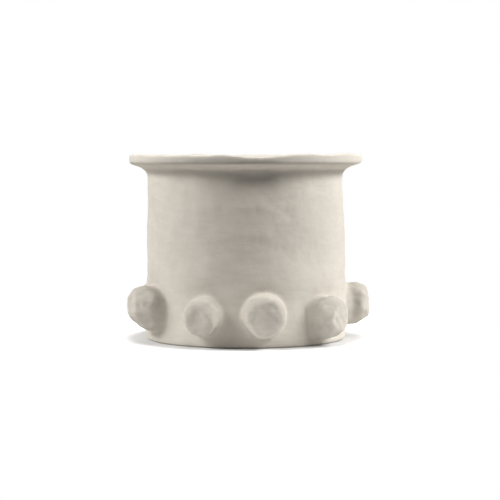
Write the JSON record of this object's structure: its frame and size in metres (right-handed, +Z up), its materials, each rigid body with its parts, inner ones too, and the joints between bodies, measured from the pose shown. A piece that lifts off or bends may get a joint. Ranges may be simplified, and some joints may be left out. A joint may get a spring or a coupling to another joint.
{
  "type": "cachepot",
  "caption": "Round drum cachepot with a wide flared rim and a ring of hand-pinched knobs round its foot, to hold and hide a plant's growing pot.",
  "frame": {"origin": "on the ground, at the drum's axis", "axes": "+Z up the drum's axis, -Y the side that faces the picture's camera, +X the picture's right"},
  "size_m": [0.3666, 0.376, 0.28],
  "materials": {
    "paper_pulp": "matte, hand-smoothed paper pulp in warm off-white",
    "sealed_pulp": "paper pulp under a thin water-resistant seal coat, slightly smoother and darker"
  },
  "bodies": {
    "root": {"floor_disc": "sealed_pulp", "seal_bead": "sealed_pulp", "wall_drum": "paper_pulp", "rim_flange": "paper_pulp", "knob_1": "paper_pulp", "knob_2": "paper_pulp", "knob_3": "paper_pulp", "knob_4": "paper_pulp", "knob_5": "paper_pulp", "knob_6": "paper_pulp", "knob_7": "paper_pulp", "knob_8": "paper_pulp", "knob_9": "paper_pulp"}
  },
  "joints": []
}
